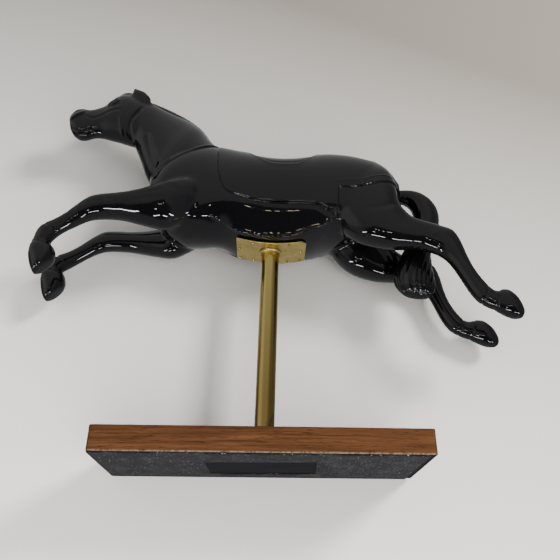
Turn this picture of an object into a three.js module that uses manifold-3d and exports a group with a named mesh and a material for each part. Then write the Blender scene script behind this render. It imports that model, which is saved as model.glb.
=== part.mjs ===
// Table-top carousel horse: a galloping lacquered horse held by a brass rod on a wooden board.
// Millimetres, +Z up, the horse's head toward -X. The board and the horse stay side-symmetric about Y = 0.
import * as THREE from 'three';
import { mergeVertices } from 'three/addons/utils/BufferGeometryUtils.js';
import Module from 'manifold-3d';

const wasm = await Module();
wasm.setup();

// ---- driving dimensions -------------------------------------------------------------------------
const board = { length: 248.5, depth: 89, height: 19, corner: 1.6, edge: 0.8 };
const felt = { thickness: 1, left: -124.4, right: 119.6, near: -44.6, far: 43.4 };
const labelPlace = { length: 84, depth: 44, x: -0.6, y: 5, turn: -0.05 };
const rod = { radius: 8, foot: 0.7, head: 3.7, socketDepth: 9, sides: 24 };
const plate = { length: 63, width: 35, thickness: 1.2, x: 4.3, lowest: 8, underside: 189.3, bend: 118 };
const collar = { outer: 10.4, height: 2.6 };
const pin = { radius: 1.15, height: 0.7, across: 14.7, middle: -1, along: [-24.5, -12, 20, 31.5] };
const gap = 0.3;
const boardOffset = -2.85;
// The upright leans a little, from its foot in the board to its head under the horse.
const lean = Math.atan((rod.head - rod.foot) / (plate.underside - board.height));

// ---- materials ----------------------------------------------------------------------------------
const lacquer = () => new THREE.MeshStandardMaterial({ color: 0x0a0a0c, roughness: 0.12, metalness: 0 });
const brass = () => new THREE.MeshStandardMaterial({ color: 0xb08d4c, roughness: 0.3, metalness: 1 });
const wood = () => new THREE.MeshStandardMaterial({ color: 0x6e4630, roughness: 0.55, metalness: 0 });
const cloth = () => new THREE.MeshStandardMaterial({ color: 0x26272a, roughness: 0.95, metalness: 0 });

// ---- solids -------------------------------------------------------------------------------------
// A three.js geometry as a solid that can be joined or cut.
function toSolid(geometry) {
  const bare = geometry.clone();
  bare.deleteAttribute('normal');
  bare.deleteAttribute('uv');
  const merged = mergeVertices(bare, 1e-4);
  return new wasm.Manifold(new wasm.Mesh({
    numProp: 3,
    vertProperties: new Float32Array(merged.attributes.position.array),
    triVerts: new Uint32Array(merged.index.array),
  }));
}

// A solid back as a three.js geometry.
function toGeometry(solid) {
  const mesh = solid.getMesh();
  const geometry = new THREE.BufferGeometry();
  geometry.setAttribute('position', new THREE.BufferAttribute(new Float32Array(mesh.vertProperties), 3));
  geometry.setIndex(Array.from(mesh.triVerts));
  geometry.computeVertexNormals();
  return geometry;
}

// Smooth curve through rows of numbers (Catmull-Rom), with a number of steps in each gap.
function smoothRows(rows, steps) {
  const out = [];
  for (let i = 0; i < rows.length - 1; i += 1) {
    const p0 = rows[Math.max(i - 1, 0)];
    const p1 = rows[i];
    const p2 = rows[i + 1];
    const p3 = rows[Math.min(i + 2, rows.length - 1)];
    for (let k = 0; k < steps; k += 1) {
      const t = k / steps;
      out.push(p1.map((v, c) => 0.5 * (2 * v + (p2[c] - p0[c]) * t
        + (2 * p0[c] - 5 * v + 4 * p2[c] - p3[c]) * t * t
        + (3 * v - p0[c] - 3 * p2[c] + p3[c]) * t * t * t)));
    }
  }
  out.push(rows[rows.length - 1]);
  return out;
}

// Closed skin over rings of points. Each end is rounded by shrinking copies of its last ring.
function skin(rings, roundStart, roundEnd) {
  const centre = (ring) => ring.reduce((s, p) => s.add(p), new THREE.Vector3()).divideScalar(ring.length);
  const cap = (ring, next, bulge) => {
    const middle = centre(ring);
    const out = middle.clone().sub(centre(next)).normalize();
    const reach = bulge * Math.min(...ring.map((p) => p.distanceTo(middle)));
    const turns = [Math.PI / 6, Math.PI / 3];
    const rims = turns.map((a) => ring.map((p) => p.clone().sub(middle)
      .multiplyScalar(Math.cos(a)).add(middle).addScaledVector(out, reach * Math.sin(a))));
    return { rims, tip: middle.addScaledVector(out, reach) };
  };
  const start = cap(rings[0], rings[1], roundStart);
  const end = cap(rings[rings.length - 1], rings[rings.length - 2], roundEnd);
  const all = [...start.rims.reverse(), ...rings, ...end.rims];
  const around = rings[0].length;
  const points = [start.tip, ...all.flat(), end.tip];
  const faces = [];
  for (let j = 0; j < around; j += 1) {
    const next = (j + 1) % around;
    const last = 1 + (all.length - 1) * around;
    faces.push(0, 1 + next, 1 + j);
    faces.push(last + j, last + next, points.length - 1);
    for (let i = 0; i < all.length - 1; i += 1) {
      const a = 1 + i * around;
      const b = a + around;
      faces.push(a + j, a + next, b + next, a + j, b + next, b + j);
    }
  }
  let volume = 0;
  for (let i = 0; i < faces.length; i += 3) {
    const [a, b, c] = [points[faces[i]], points[faces[i + 1]], points[faces[i + 2]]];
    volume += a.dot(b.clone().cross(c));
  }
  if (volume < 0) faces.reverse();
  const geometry = new THREE.BufferGeometry();
  geometry.setAttribute('position', new THREE.Float32BufferAttribute(points.flatMap((p) => [p.x, p.y, p.z]), 3));
  geometry.setIndex(faces);
  return toSolid(geometry);
}

// A limb is drawn as ribs: upper edge x, z; lower edge x, z; side offset; half width; fullness of the
// section (2 is an ellipse, more is squarer); lean of the section's top away from the middle.
function limb(ribs, steps, around, roundStart = 0.5, roundEnd = 0.5) {
  const rings = smoothRows(ribs, steps).map(([ux, uz, lx, lz, side, half, fullness, lean = 0]) => {
    const ring = [];
    const tall = Math.hypot(ux - lx, uz - lz) / 2;
    for (let k = 0; k < around; k += 1) {
      const a = (k / around) * 2 * Math.PI;
      const wide = Math.sign(Math.cos(a)) * Math.abs(Math.cos(a)) ** (2 / fullness);
      const high = Math.sign(Math.sin(a)) * Math.abs(Math.sin(a)) ** (2 / fullness);
      ring.push(new THREE.Vector3(
        (ux + lx) / 2 + ((ux - lx) / 2) * high,
        side + half * wide + Math.sign(side) * lean * tall * high,
        (uz + lz) / 2 + ((uz - lz) / 2) * high,
      ));
    }
    return ring;
  });
  return skin(rings, roundStart, roundEnd);
}

// The same limb on the other side. Each rib is moved along X, and its upper and lower edges along Z.
function otherSide(ribs, shift) {
  return ribs.map(([ux, uz, lx, lz, side, ...rest], i) => {
    const [dx, upper, lower] = shift(i);
    return [ux + dx, uz + upper, lx + dx, lz + lower, -side, ...rest];
  });
}

const bell = (value, width) => Math.exp(-((value / width) ** 2));
const { smoothstep } = THREE.MathUtils;

// ---- the horse ----------------------------------------------------------------------------------
// Trunk ribs: x; back z; widest y, z; belly edge y, z; belly middle z; fullness of the back.
const trunkRibs = [
  [-106, 268, 25, 249, 15, 235, 230, 2.1], [-95, 284, 34, 244, 23, 219, 211, 2.2],
  [-80, 298, 37.5, 243, 27, 210, 202, 2.2], [-62, 305.2, 38.5, 243, 28, 210, 201, 2.0],
  [-45, 305, 39, 241, 27, 210.5, 200.5, 1.8], [-27, 299, 40, 239, 24, 199, 196.4, 1.9],
  [-8, 290.3, 41, 238, 22.5, 194.5, 192.5, 2.2], [8, 286.5, 41.5, 238, 22.5, 193, 190.9, 2.3],
  [24, 287, 41.5, 238, 23.5, 194.8, 191.8, 2.3], [40, 292, 41, 239, 26, 199.5, 195.6, 2.1],
  [55, 296.2, 40.5, 240, 30, 206, 201, 2.0], [72, 295.2, 40.5, 242, 31, 211, 204, 2.0],
  [88, 290.5, 39.5, 244, 30, 217, 210, 2.1], [103, 284.5, 37, 246, 27, 226, 219, 2.1],
  [114.5, 275.5, 31, 247, 22, 234, 229, 2.1], [120.5, 267, 24, 249, 16, 240, 237, 2.0],
];

// Half a trunk section runs over the back to the widest place, in to the belly edge, and to the middle.
function trunk(steps, overBack, underSide, acrossBelly) {
  const tuck = 0.72 * (Math.PI / 2);
  const rings = smoothRows(trunkRibs, steps).map(([x, back, wide, wideZ, edge, edgeZ, middle, fullness]) => {
    const half = [];
    for (let k = 0; k < overBack; k += 1) {
      const a = (k / overBack) * (Math.PI / 2);
      half.push([wide * Math.sin(a) ** (2 / fullness), wideZ + (back - wideZ) * Math.cos(a) ** (2 / fullness)]);
    }
    for (let k = 0; k < underSide; k += 1) {
      const a = (k / underSide) * tuck;
      half.push([
        wide + (edge - wide) * ((1 - Math.cos(a)) / (1 - Math.cos(tuck))),
        wideZ + (edgeZ - wideZ) * (Math.sin(a) / Math.sin(tuck)),
      ]);
    }
    for (let k = 0; k <= acrossBelly; k += 1) {
      const s = 1 - k / acrossBelly;
      half.push([edge * s, middle + (edgeZ - middle) * s * s]);
    }
    const mirrored = half.slice(1, -1).reverse().map(([y, z]) => [-y, z]);
    return [...half, ...mirrored].map(([y, z]) => new THREE.Vector3(x, -y, z));
  });
  return skin(rings, 0.3, 0.3);
}

const neckRibs = [
  [-46, 302, -76, 238, 0, 29, 1.9], [-57, 315, -97.5, 242, 0, 28.5, 1.9], [-67, 329.5, -107.5, 252.5, 0, 26, 1.9],
  [-80, 341.5, -113.5, 263.5, 0, 21.5, 1.85], [-95, 350.5, -119.5, 276.5, 0, 18, 1.85],
  [-109.5, 359, -124.8, 290.5, 0, 15.5, 1.85], [-121, 366.5, -131, 305.5, 0, 13.8, 1.9],
  [-131, 371, -136, 316, 0, 12, 2],
];

const headRibs = [
  [-119, 366, -126, 306, 0, 11.5, 2], [-130, 372, -129.5, 309, 0, 13, 2], [-141, 375.5, -134, 312, 0, 14.6, 2.1],
  [-151, 376.5, -142, 315.5, 0, 15, 2.2], [-159.5, 372, -150.5, 318.5, 0, 14, 2.2],
  [-167, 362.5, -160, 321, 0, 12, 2.2], [-175, 358, -168, 323, 0, 10.3, 2.2], [-184, 355.5, -176, 323, 0, 9.4, 2.2],
  [-191.5, 357, -183.5, 320, 0, 9.8, 2.2], [-197.6, 354.8, -190.8, 320.3, 0, 10, 2.3],
  [-201.4, 348.6, -196.2, 324.5, 0, 9, 2.3],
];

const earRibs = [
  [-148, 374, -143, 364, -6.5, 2.6, 2], [-141, 379.5, -137, 367, -7.5, 3.4, 2],
  [-133, 377.5, -131, 367, -8, 3, 2], [-126, 371, -125, 366, -8, 1.6, 2],
];

const maneRibs = [
  [-134, 376, -133, 366, 1, 3, 2], [-110, 365, -112, 353, 1.5, 3, 2], [-95, 356.8, -97, 345, 1.5, 3, 2],
  [-80, 346.8, -83, 336, 1.5, 3, 2], [-66, 333, -70, 325, 1.5, 3, 2], [-55, 316, -61, 311, 1, 2, 2],
];

const forelegRibs = [
  [-52, 250, -60, 215, -24, 12, 2, 0.1], [-72, 247, -76, 206, -27, 15, 2, 0.2],
  [-92, 239, -90, 200, -29, 16, 2, 0.3], [-112, 231, -108, 202, -30, 13.5, 2, 0.32],
  [-130, 227.5, -126.5, 206, -30, 11.5, 2, 0.3], [-147, 226.5, -140, 207.5, -29, 10.2, 2.1, 0.25],
  [-158, 224.5, -151, 207, -28, 9.2, 2.2, 0.2], [-168, 218, -159, 204.5, -27, 8, 2, 0.15],
  [-178, 209.5, -169, 198.5, -26, 6.6, 2, 0.1], [-187, 203.5, -177, 193, -25.5, 6.4, 2, 0],
  [-196, 198, -182.5, 188.5, -25, 7.4, 2, 0], [-200.5, 191, -186.5, 183.5, -24.5, 6.8, 2, 0],
  [-201.6, 185, -187, 179.5, -24, 6.4, 2, 0], [-203.2, 178.5, -183.6, 176.5, -24, 8, 2.2, 0],
  [-203, 169, -181.6, 171, -24, 9.3, 2.2, 0], [-199.8, 158.5, -181, 168, -24, 9.6, 2.2, 0],
  [-196, 151.5, -181.6, 166.2, -24, 8.3, 2.2, 0],
];
// The far foreleg is fuller at the forearm, hangs lower at the knee and reaches further forward with its hoof.
function farForelegShift(i) {
  const hoof = 2 * smoothstep(i, 13, 16);
  const upper = 1.4 * bell(i - 5, 2.6) - 3 * bell(i - 9.5, 1.8) - hoof;
  const shank = 2 * smoothstep(i, 2.5, 5) * (1 - smoothstep(i, 11, 13));
  const lower = -2.5 * bell(i - 1.5, 1.6) - shank - 1.6 * bell(i - 10, 1.5) - hoof;
  return [-4.5 * smoothstep(i, 8, 12.5), upper, lower];
}

const hindlegRibs = [
  [104, 281, 60, 246, -14, 18, 2], [113.5, 266, 59, 228, -19, 21, 2], [118, 245, 64, 208, -23, 20, 2, 0.05],
  [119, 226, 80, 192, -25.5, 17.5, 2, 0.1], [127, 212.5, 102, 184, -27, 14, 2, 0.1],
  [138, 207, 120, 182, -28, 12, 2, 0.1], [146, 205, 132, 181.5, -28.5, 10.8, 2, 0.05],
  [155, 202, 143, 178, -29, 10.2, 2.1], [164, 197.5, 150, 174.5, -29.5, 9.2, 2.2], [169.5, 186, 156, 168.5, -30, 8, 2],
  [173, 172.4, 161, 160.5, -30, 6.8, 2], [177.6, 159, 166, 150, -30, 6.4, 2], [183.6, 148, 171, 139, -30, 6.6, 2],
  [189.6, 140, 177, 130, -30, 6.9, 2], [193.5, 138.3, 184, 125, -30, 6.6, 2], [197, 139.8, 190.5, 122, -30, 7.4, 2.1],
  [203, 139.2, 197.5, 118, -30, 8.8, 2.2], [209.5, 132, 204.5, 115, -30, 8, 2.2], [213.2, 122.5, 210, 115, -30, 4.5, 2],
].map((rib) => (rib.length < 8 ? [...rib, 0] : rib));
// The far hind leg hangs a little lower at the thigh, and its shank stands further forward.
function farHindlegShift(i) {
  const lower = -1 - 3 * bell(i - 4, 3.2) - 1.5 * bell(i - 9, 1.8);
  return [1.2 * smoothstep(i, 15, 17.5) - 1.5 - 5 * bell(i - 12.2, 3.2), lower, lower];
}

const tailRibs = [
  [112, 263, 112, 249, 0, 6, 2], [124, 262, 124, 249.5, 0, 6.5, 2], [135, 262, 132, 249, 0, 8, 2],
  [145, 260.5, 137.5, 244.5, 0, 9, 2], [154, 255.5, 140, 236, 0, 9.5, 2], [160.5, 247, 140, 226, 0, 10, 2],
  [163.5, 235, 137.5, 216, 0, 10.5, 2], [161.5, 220, 132, 205, 0, 11, 2], [155, 205, 127.5, 196, 0, 12, 2],
  [151, 190, 121.5, 184, 0, 13, 2], [150.5, 176, 116, 172, 0, 13.5, 2], [151.5, 164, 116.5, 160, 0, 12.5, 2],
  [150.5, 154, 124, 150.5, 0, 8.5, 2], [146.5, 149, 134, 147.5, 0, 4, 2],
];

// The rolled edge of the body cloth is a flattened ring around the foot of the neck.
function neckRoll() {
  const roll = { x: -76.5, z: 281, along: 40.5, across: 30.5, slope: Math.atan2(50, 65), thick: 1.8 };
  const rings = [];
  const count = 40;
  for (let i = 0; i < count; i += 1) {
    const a = (i / count) * 2 * Math.PI;
    const out = new THREE.Vector3(Math.cos(roll.slope) * Math.cos(a), Math.sin(a), Math.sin(roll.slope) * Math.cos(a));
    const spot = new THREE.Vector3(
      roll.x + roll.along * Math.cos(roll.slope) * Math.cos(a),
      roll.across * Math.sin(a),
      roll.z + roll.along * Math.sin(roll.slope) * Math.cos(a),
    );
    const lift = new THREE.Vector3(-Math.sin(roll.slope), 0, Math.cos(roll.slope));
    const ring = [];
    for (let k = 0; k < 6; k += 1) {
      const b = (k / 6) * 2 * Math.PI;
      ring.push(spot.clone().addScaledVector(out, roll.thick * Math.cos(b)).addScaledVector(lift, roll.thick * Math.sin(b)));
    }
    rings.push(ring);
  }
  const points = rings.flat();
  const faces = [];
  for (let i = 0; i < count; i += 1) {
    for (let k = 0; k < 6; k += 1) {
      const a = i * 6 + k;
      const b = i * 6 + ((k + 1) % 6);
      const c = ((i + 1) % count) * 6 + ((k + 1) % 6);
      const d = ((i + 1) % count) * 6 + k;
      faces.push(a, d, c, a, c, b);
    }
  }
  const geometry = new THREE.BufferGeometry();
  geometry.setAttribute('position', new THREE.Float32BufferAttribute(points.flatMap((p) => [p.x, p.y, p.z]), 3));
  geometry.setIndex(faces);
  return toSolid(geometry);
}

function eye(side) {
  const ball = new THREE.SphereGeometry(1, 10, 6);
  ball.scale(4.4, 1.8, 2.8);
  ball.rotateY(-0.5);
  ball.translate(-158.6, side * 13, 358);
  return toSolid(ball);
}

// The strip follows the belly, so its underside rises with the square of the distance from its lowest place.
const rise = (x) => plate.underside + ((x - plate.lowest) ** 2) / (2 * plate.bend);

// The bent strip's outline in the XZ plane, thickened by a clearance above and below.
function stripOutline(clear) {
  const shape = new THREE.Shape();
  const steps = 16;
  const spots = [];
  for (let i = 0; i <= steps; i += 1) {
    spots.push(plate.x + (plate.length / 2 + clear) * (-1 + (2 * i) / steps));
  }
  spots.forEach((x, i) => (i ? shape.lineTo(x, rise(x) - clear) : shape.moveTo(x, rise(x) - clear)));
  spots.reverse().forEach((x) => shape.lineTo(x, rise(x) + plate.thickness + clear));
  shape.closePath();
  return shape;
}

function strip(clear) {
  const width = plate.width + 2 * clear;
  const geometry = new THREE.ExtrudeGeometry(stripOutline(clear), { depth: width, bevelEnabled: false });
  geometry.rotateX(Math.PI / 2);
  geometry.translate(0, width / 2, 0);
  return geometry;
}

function horse() {
  const farForeleg = otherSide(forelegRibs, farForelegShift);
  const farHindleg = otherSide(hindlegRibs, farHindlegShift);
  const farEar = otherSide(earRibs, () => [0, 0, 0]);
  let solid = trunk(2, 5, 4, 2);
  [
    limb(neckRibs, 2, 16), limb(headRibs, 2, 14, 0.5, 0.35), limb(tailRibs, 2, 12),
    limb(forelegRibs, 2, 12, 0.5, 0.15), limb(farForeleg, 2, 12, 0.5, 0.15),
    limb(hindlegRibs, 2, 12, 0.5, 0.3), limb(farHindleg, 2, 12, 0.5, 0.3),
    limb(earRibs, 1, 8), limb(farEar, 1, 8), limb(maneRibs, 1, 8), neckRoll(), eye(1), eye(-1),
  ].forEach((piece) => {
    solid = solid.add(piece);
  });
  const seat = toSolid(strip(gap));
  return toGeometry(solid.subtract(seat));
}

// ---- the stand ----------------------------------------------------------------------------------
function roundedRectangle(left, right, near, far, corner) {
  const shape = new THREE.Shape();
  shape.moveTo(left + corner, near);
  shape.lineTo(right - corner, near);
  shape.absarc(right - corner, near + corner, corner, -Math.PI / 2, 0);
  shape.lineTo(right, far - corner);
  shape.absarc(right - corner, far - corner, corner, 0, Math.PI / 2);
  shape.lineTo(left + corner, far);
  shape.absarc(left + corner, far - corner, corner, Math.PI / 2, Math.PI);
  shape.lineTo(left, near + corner);
  shape.absarc(left + corner, near + corner, corner, Math.PI, 1.5 * Math.PI);
  return shape;
}

function woodBoard() {
  const { length, depth, height, corner, edge } = board;
  const outline = roundedRectangle(-length / 2 + edge, length / 2 - edge, -depth / 2 + edge, depth / 2 - edge, corner);
  const block = new THREE.ExtrudeGeometry(outline, {
    depth: height - 2 * edge, bevelThickness: edge, bevelSize: edge, bevelSegments: 1, curveSegments: 3,
  });
  block.translate(0, 0, edge);
  const socket = new THREE.CylinderGeometry(rod.radius + gap, rod.radius + gap, 2 * rod.socketDepth, rod.sides);
  socket.rotateX(Math.PI / 2);
  socket.rotateY(lean);
  socket.translate(rod.foot, 0, height);
  return toGeometry(toSolid(block).subtract(toSolid(socket)));
}

function feltPad() {
  const outline = roundedRectangle(felt.left, felt.right, felt.near, felt.far, 1.5);
  const { length, depth, x, y, turn } = labelPlace;
  const corners = [[-1, -1], [-1, 1], [1, 1], [1, -1]].map(([i, j]) => {
    const [a, b] = [(i * length) / 2, (j * depth) / 2];
    return [x + a * Math.cos(turn) - b * Math.sin(turn), y + a * Math.sin(turn) + b * Math.cos(turn)];
  });
  const cutOut = new THREE.Path();
  corners.forEach(([a, b], i) => (i ? cutOut.lineTo(a, b) : cutOut.moveTo(a, b)));
  cutOut.closePath();
  outline.holes.push(cutOut);
  const pad = new THREE.ExtrudeGeometry(outline, { depth: felt.thickness, bevelEnabled: false, curveSegments: 3 });
  pad.translate(0, 0, -felt.thickness);
  return pad;
}

function brassRod() {
  const inBoard = rod.socketDepth - gap;
  const aboveBoard = plate.underside - gap - board.height;
  const bar = new THREE.CylinderGeometry(rod.radius, rod.radius, aboveBoard + inBoard, rod.sides);
  bar.rotateX(Math.PI / 2);
  bar.translate(0, 0, (aboveBoard - inBoard) / 2);
  bar.rotateY(lean);
  bar.translate(rod.foot, 0, board.height);
  return bar;
}

function rodCollar() {
  const inner = rod.radius + gap;
  const top = plate.underside - gap;
  const profile = [
    [inner, top - collar.height], [inner + 0.7, top - collar.height], [inner + 1.1, top - 1.1],
    [collar.outer, top - 0.4], [collar.outer, top], [inner, top], [inner, top - collar.height],
  ].map(([r, z]) => new THREE.Vector2(r, z));
  const ring = new THREE.LatheGeometry(profile, rod.sides);
  ring.rotateX(Math.PI / 2);
  ring.translate(rod.head, 0, 0);
  return ring;
}

// A nail's domed head under the strip.
function pinHead(x, y) {
  const profile = [[0, -pin.height], [0.6 * pin.radius, -0.8 * pin.height], [pin.radius, -0.25 * pin.height],
    [pin.radius, 0], [0, 0]].map(([r, z]) => new THREE.Vector2(r, z));
  const head = new THREE.LatheGeometry(profile, 8);
  head.rotateX(Math.PI / 2);
  head.translate(x, y, rise(x) - gap - 0.1);
  return head;
}

// ---- assembly -----------------------------------------------------------------------------------
const group = new THREE.Group();
group.position.set(boardOffset, 0, felt.thickness);

function add(name, geometry, material) {
  const mesh = new THREE.Mesh(geometry, material);
  mesh.name = name;
  group.add(mesh);
}

add('horse', horse(), lacquer());
add('belly_plate', strip(0), brass());
add('rod', brassRod(), brass());
add('rod_collar', rodCollar(), brass());
add('wood_base', woodBoard(), wood());
add('felt_pad', feltPad(), cloth());
pin.along.forEach((x, i) => {
  add(`plate_pin_${2 * i + 1}`, pinHead(x, -pin.across), brass());
  add(`plate_pin_${2 * i + 2}`, pinHead(x, pin.across), brass());
});
add('plate_pin_9', pinHead(pin.along[0], pin.middle), brass());
add('plate_pin_10', pinHead(pin.along[3], pin.middle), brass());

export default group;
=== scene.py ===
import math

import bmesh
import bpy
import numpy as np
from mathutils import Matrix, Vector


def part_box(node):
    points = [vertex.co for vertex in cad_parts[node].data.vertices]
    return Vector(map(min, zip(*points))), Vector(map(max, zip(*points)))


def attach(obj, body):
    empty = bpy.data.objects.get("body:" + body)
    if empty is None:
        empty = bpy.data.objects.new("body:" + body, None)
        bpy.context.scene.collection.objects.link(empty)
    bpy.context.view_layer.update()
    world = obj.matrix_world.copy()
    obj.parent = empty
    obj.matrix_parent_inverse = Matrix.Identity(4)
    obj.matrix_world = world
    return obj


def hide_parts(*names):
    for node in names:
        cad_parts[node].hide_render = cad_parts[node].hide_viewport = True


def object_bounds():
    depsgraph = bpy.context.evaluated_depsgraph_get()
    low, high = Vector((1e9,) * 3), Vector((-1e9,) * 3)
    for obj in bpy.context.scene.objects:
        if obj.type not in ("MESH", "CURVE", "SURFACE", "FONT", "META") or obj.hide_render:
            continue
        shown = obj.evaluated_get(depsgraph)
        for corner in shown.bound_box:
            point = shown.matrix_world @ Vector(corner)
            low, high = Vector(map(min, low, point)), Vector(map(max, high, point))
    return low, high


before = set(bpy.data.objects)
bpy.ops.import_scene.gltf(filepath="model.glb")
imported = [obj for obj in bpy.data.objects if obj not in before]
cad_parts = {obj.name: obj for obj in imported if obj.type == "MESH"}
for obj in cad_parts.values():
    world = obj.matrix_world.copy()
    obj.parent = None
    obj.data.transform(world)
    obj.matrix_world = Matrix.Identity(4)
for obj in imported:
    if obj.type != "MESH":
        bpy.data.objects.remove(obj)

cadLow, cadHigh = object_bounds()
boardLow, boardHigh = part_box("wood_base")
mm = 0.001
# every shape below is drawn in millimetres from the middle of the board's underside
drawOrigin = np.array([(boardLow.x + boardHigh.x) / 2, (boardLow.y + boardHigh.y) / 2, boardLow.z])


def toFrame(points):
    return np.asarray(points, float) * mm + drawOrigin


def boxInMm(node):
    low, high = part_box(node)
    return (np.array(low) - drawOrigin) / mm, (np.array(high) - drawOrigin) / mm


# shared shape tools

def smoothRows(rows, steps):
    # Catmull-Rom: each gap between rows becomes a cubic whose slopes come from the rows on both sides
    rows = np.asarray(rows, float)
    before = np.vstack([rows[:1], rows[:-2]])[:, None]
    start, end = rows[:-1][:, None], rows[1:][:, None]
    after = np.vstack([rows[2:], rows[-1:]])[:, None]
    t = (np.arange(steps) / steps)[None, :, None]
    curve = 0.5 * (2 * start + (end - before) * t + (2 * before - 5 * start + 4 * end - after) * t**2
                   + (3 * start - before - 3 * end + after) * t**3)
    return np.vstack([curve.reshape(-1, rows.shape[1]), rows[-1:]])


def signedPower(values, power):
    return np.sign(values) * np.abs(values) ** power


def smoothStep(value, low, high):
    t = np.clip((value - low) / (high - low), 0, 1)
    return t * t * (3 - 2 * t)


def bell(value, width):
    return np.exp(-((value / width) ** 2))


def ripple(points, size, seed, waves=9):
    # soft unevenness: the mean of sine waves of about one size that run in seeded directions
    chance = np.random.default_rng(seed)
    heading = chance.normal(size=(waves, 3))
    quickness = 2 * math.pi / size * chance.uniform(0.6, 1.5, waves)
    heading *= (quickness / np.linalg.norm(heading, axis=1))[:, None]
    return np.sin(points @ heading.T + chance.uniform(0, 2 * math.pi, waves)).mean(1)


def ringFaces(count, around):
    # quads between rings that follow each other, and a fan to a middle point at each end
    i, j = np.meshgrid(np.arange(count - 1), np.arange(around), indexing="ij")
    a, b = i * around + j, i * around + (j + 1) % around
    faces = np.stack([a, b, b + around, a + around], -1).reshape(-1, 4).tolist()
    k, following = np.arange(around), (np.arange(around) + 1) % around
    last, tip = (count - 1) * around, count * around + 1
    faces += np.stack([np.full(around, tip - 1), following, k], -1).tolist()
    faces += np.stack([np.full(around, tip), last + k, last + following], -1).tolist()
    return faces


def flatRing(outline, height):
    return np.column_stack([outline, np.full(len(outline), height)])


def loopFaces(count, around):
    # quads round a closed profile: the last ring runs back to the first
    i, j = np.meshgrid(np.arange(count), np.arange(around), indexing="ij")
    here, following, beside = i * around, (i + 1) % count * around, (j + 1) % around
    return np.stack([here + j, here + beside, following + beside, following + j], -1).reshape(-1, 4).tolist()


def ringSolid(rings):
    # closed skin over rings of points, each end closed at the middle of its own ring
    count, around = rings.shape[:2]
    points = np.vstack([rings.reshape(-1, 3), rings[0].mean(0), rings[-1].mean(0)])
    return points, ringFaces(count, around)


def roundEnds(rings, startBulge, endBulge):
    # each end gets shrunken copies of its last ring, on a quarter ellipse that bulges outwards
    def cap(ring, inner, bulge):
        middle = ring.mean(0)
        outward = middle - inner.mean(0)
        outward /= np.linalg.norm(outward)
        reach = bulge * np.linalg.norm(ring - middle, axis=1).min()
        angles = np.radians([15, 30, 45, 60, 75])[:, None, None]
        return middle + (ring - middle) * np.cos(angles) + outward * reach * np.sin(angles)

    start = cap(rings[0], rings[1], startBulge)[::-1]
    end = cap(rings[-1], rings[-2], endBulge)
    return np.concatenate([start, rings, end])


def meshFrom(name, points, faces):
    mesh = bpy.data.meshes.new(name)
    mesh.from_pydata(points.tolist(), [], faces)
    mesh.update()
    return mesh


def addObject(name, data):
    thing = bpy.data.objects.new(name, data)
    bpy.context.scene.collection.objects.link(thing)
    return thing


def outwards(mesh):
    # all faces turned outwards
    work = bmesh.new()
    work.from_mesh(mesh)
    bmesh.ops.recalc_face_normals(work, faces=work.faces)
    if work.calc_volume(signed=True) < 0:
        bmesh.ops.reverse_faces(work, faces=work.faces)
    work.to_mesh(mesh)
    work.free()


def addPiece(name, points, faces, material, node):
    mesh = meshFrom(name, toFrame(points), faces)
    outwards(mesh)
    mesh.materials.append(material)
    mesh.polygons.foreach_set("use_smooth", np.ones(len(mesh.polygons), bool))
    piece = addObject(name, mesh)
    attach(piece, "root")
    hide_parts(node)
    print(f"{name}: {len(mesh.polygons)} faces")
    return piece


# material tools

def startMaterial(name, sockets):
    material = bpy.data.materials.new(name)
    material.use_nodes = True
    shader = material.node_tree.nodes["Principled BSDF"]
    for socket, value in sockets.items():
        shader.inputs[socket].default_value = value
    return material, material.node_tree, shader


def connect(tree, shader, colour, roughness, normal):
    # links the finished patterns to the shader; a roughness of None stays the plain value on its socket
    tree.links.new(colour, shader.inputs["Base Color"])
    if roughness:
        tree.links.new(roughness, shader.inputs["Roughness"])
    tree.links.new(normal, shader.inputs["Normal"])


def addNode(tree, kind, inputs, settings={}):
    # a node whose inputs are either linked from another node's output or set to a value
    node = tree.nodes.new(kind)
    for key, value in settings.items():
        setattr(node, key, value)
    for key, value in inputs.items():
        if isinstance(value, bpy.types.NodeSocket):
            tree.links.new(value, node.inputs[key])
        else:
            node.inputs[key].default_value = value
    return node


def objectPlace(tree, scale=(1, 1, 1), turn=(0, 0, 0)):
    place = addNode(tree, "ShaderNodeTexCoord", {}).outputs["Object"]
    inputs = {"Vector": place, "Scale": scale, "Rotation": turn}
    return addNode(tree, "ShaderNodeMapping", inputs).outputs["Vector"]


# the tools below add their nodes to the tree that their first input comes from

def heightOf(place):
    return addNode(place.id_data, "ShaderNodeSeparateXYZ", {"Vector": place}).outputs["Z"]


def noise(place, scale, detail, rough, twist=0.0):
    inputs = {"Vector": place, "Scale": scale, "Detail": detail, "Roughness": rough, "Distortion": twist}
    return addNode(place.id_data, "ShaderNodeTexNoise", inputs).outputs["Fac"]


def spread(value, low, high, outLow=0.0, outHigh=1.0):
    inputs = {"Value": value, "From Min": low, "From Max": high, "To Min": outLow, "To Max": outHigh}
    return addNode(value.id_data, "ShaderNodeMapRange", inputs).outputs["Result"]


def layer(place, look, *out):
    # one layer of noise: look holds its scale, detail, roughness and twist, then the span of it that shows
    settings, span = look
    return spread(noise(place, *settings), *span, *out)


def aboveBoard(height, span, *out):
    # runs from 0 to 1 between two heights, in millimetres above the board's underside
    start, end = (drawOrigin[2] + z * mm for z in span)
    return spread(height, start, end, *out)


def mixColours(factor, first, second):
    inputs = {0: factor, 6: first, 7: second}
    return addNode(factor.id_data, "ShaderNodeMix", inputs, {"data_type": "RGBA"}).outputs[2]


def calculate(operation, first, second):
    inputs = {0: first, 1: second}
    return addNode(first.id_data, "ShaderNodeMath", inputs, {"operation": operation}).outputs[0]


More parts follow.
